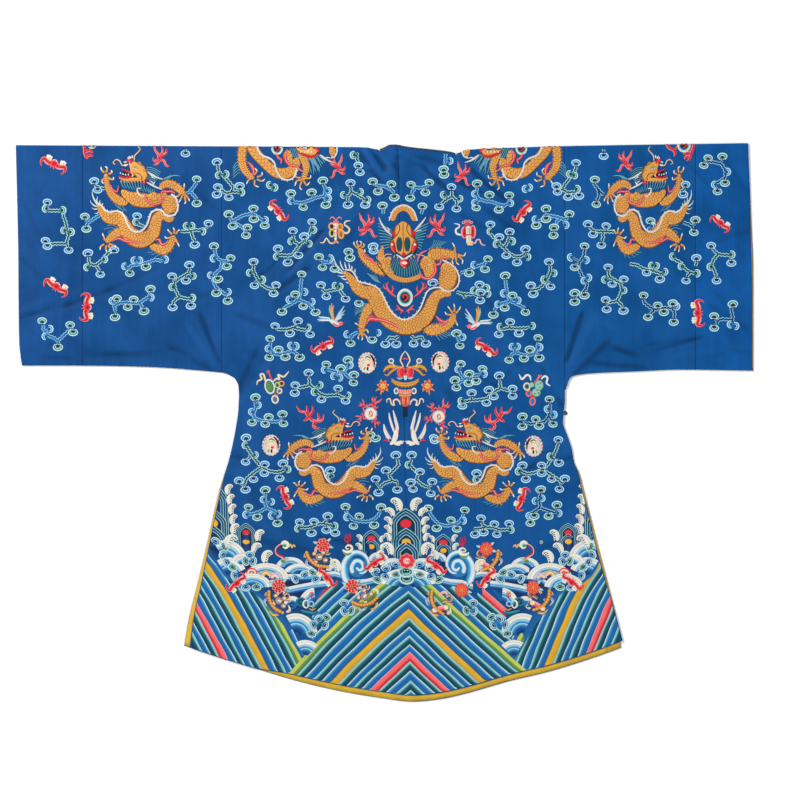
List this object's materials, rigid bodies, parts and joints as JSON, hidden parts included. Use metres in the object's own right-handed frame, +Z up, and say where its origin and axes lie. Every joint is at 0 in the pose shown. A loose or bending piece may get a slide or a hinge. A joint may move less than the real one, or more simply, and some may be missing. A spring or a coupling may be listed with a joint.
{
  "type": "dragon robe",
  "caption": "Wide-sleeved Chinese dragon robe of embroidered blue silk satin, laid flat with its back upwards, closing on the wearer's right side.",
  "frame": {"origin": "on the surface that the robe lies on, under the middle of its outline", "axes": "+X from the wearer's left cuff to the right cuff, +Y from the hem to the shoulders, +Z up from the surface, out of the robe's back"},
  "size_m": [1.4975, 1.1345, 0.0085],
  "materials": {
    "blue_satin": "silk satin with coloured silk and gold embroidery",
    "yellow_facing": "plain yellow silk",
    "dark_binding": "dark blue silk, rolled and stitched"
  },
  "bodies": {
    "root": {"body_left": "blue_satin", "body_right": "blue_satin", "overlap_front": "blue_satin", "sleeve_left": "blue_satin", "sleeve_right": "blue_satin", "cuff_left": "blue_satin", "cuff_right": "blue_satin", "facing_hem": "yellow_facing", "facing_slit_left": "yellow_facing", "facing_slit_right": "yellow_facing", "facing_cuff_left": "yellow_facing", "facing_cuff_right": "yellow_facing", "neck_binding": "dark_binding", "overlap_binding": "dark_binding", "button_neck": "dark_binding", "button_chest": "dark_binding", "button_side": "dark_binding", "loop_neck": "dark_binding", "loop_chest": "dark_binding", "loop_side": "dark_binding"}
  },
  "joints": []
}
